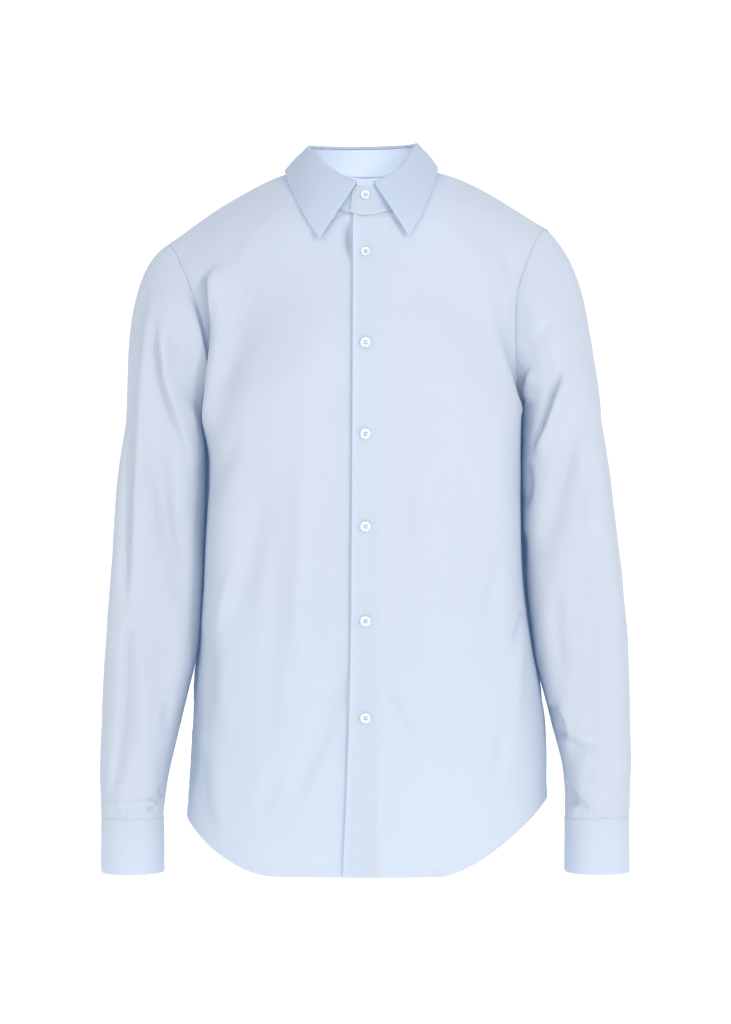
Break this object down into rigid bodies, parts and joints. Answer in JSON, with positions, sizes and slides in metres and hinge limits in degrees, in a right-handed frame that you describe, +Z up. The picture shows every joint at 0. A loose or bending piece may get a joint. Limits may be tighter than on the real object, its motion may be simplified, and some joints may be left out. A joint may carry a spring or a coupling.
{
  "type": "long-sleeved button-front dress shirt",
  "caption": "Light blue poplin shirt, filled out as worn with nobody in it: point collar on a stand, buttoned front, set-in sleeves with buttoned cuffs, shirt-tail hem.",
  "frame": {"origin": "on the centre plane at the base of the neck, level with the shoulders beside the collar, where the wearer carries the shirt", "axes": "+X towards the wearer's left, -Y the way the wearer faces, +Z up"},
  "size_m": [0.5703, 0.2447, 0.7895],
  "materials": {
    "poplin": "fine plain-weave cotton poplin, pale blue, pressed smooth",
    "fused_poplin": "the same poplin, two plies on an interlining, pressed flat",
    "button": "white polyester, soft gloss, four holes"
  },
  "bodies": {
    "root": {"front_left": "poplin", "front_right": "poplin", "back": "poplin", "yoke": "poplin", "sleeve_left": "poplin", "sleeve_right": "poplin", "sleeve_placket_left": "poplin", "sleeve_placket_right": "poplin", "cuff_left": "fused_poplin", "cuff_right": "fused_poplin", "collar_stand": "fused_poplin", "collar": "fused_poplin", "button_collar": "button", "button_1": "button", "button_2": "button", "button_3": "button", "button_4": "button", "button_5": "button", "button_6": "button", "button_cuff_left": "button", "button_cuff_right": "button"}
  },
  "joints": []
}
